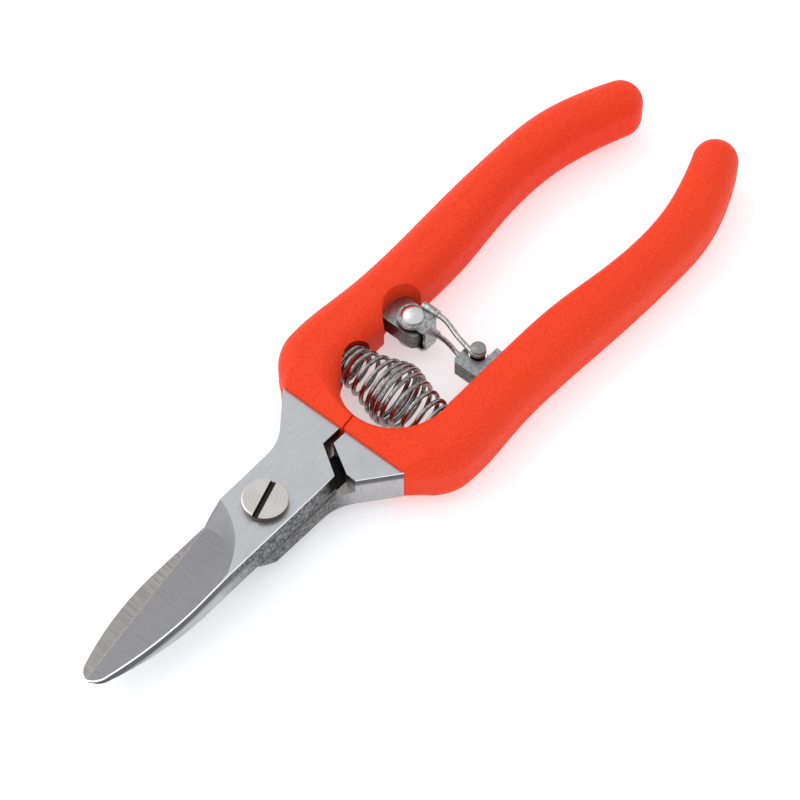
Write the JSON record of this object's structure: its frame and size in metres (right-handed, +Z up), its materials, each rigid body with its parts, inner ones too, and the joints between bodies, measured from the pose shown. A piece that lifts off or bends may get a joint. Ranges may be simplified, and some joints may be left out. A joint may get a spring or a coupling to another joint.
{
  "type": "floral snips",
  "caption": "Hand snips with slim pointed blades, a barrel spring between dipped handles and a swinging wire latch that holds them shut.",
  "frame": {"origin": "on the pivot axis, at the end face of the pivot screw, level with the surface the snips lie on", "axes": "+X along the snips to the handle ends, blade tips at -X; +Y on the side of the upper half's handle; +Z up"},
  "size_m": [0.1767, 0.0472, 0.0138],
  "materials": {
    "blade_steel": "ground and brushed forged steel",
    "grip_vinyl": "matte dipped vinyl, orange-red, fine grain",
    "screw_steel": "polished, warm silver",
    "spring_steel": "dark drawn spring wire",
    "latch_steel": "bright pressed and turned steel"
  },
  "bodies": {
    "lower_half": {"lower_blade": "blade_steel", "lower_grip": "grip_vinyl", "pivot_screw": "screw_steel", "pivot_nut": "screw_steel", "spring": "spring_steel"},
    "upper_half": {"upper_blade": "blade_steel", "upper_grip": "grip_vinyl"},
    "latch": {"latch_bracket": "latch_steel", "latch_rivet": "latch_steel", "latch_pin": "latch_steel", "latch_link_top": "latch_steel", "latch_link_bottom": "latch_steel"}
  },
  "joints": [
    {"name": "handles_open", "type": "hinge", "parent": "lower_half", "child": "upper_half", "pos_m": [0, 0, 0], "axis": [0, 0, 1], "range_deg": [0, 20], "deforming": ["spring"]},
    {"name": "latch_swing", "type": "hinge", "parent": "upper_half", "child": "latch", "pos_m": [0.0521, 0.0081, 0], "axis": [0, 0, 1], "range_deg": [0, 72]}
  ],
  "couplings": [
    {"joint": "latch_swing", "follows": "handles_open", "ratio": 3.6}
  ]
}
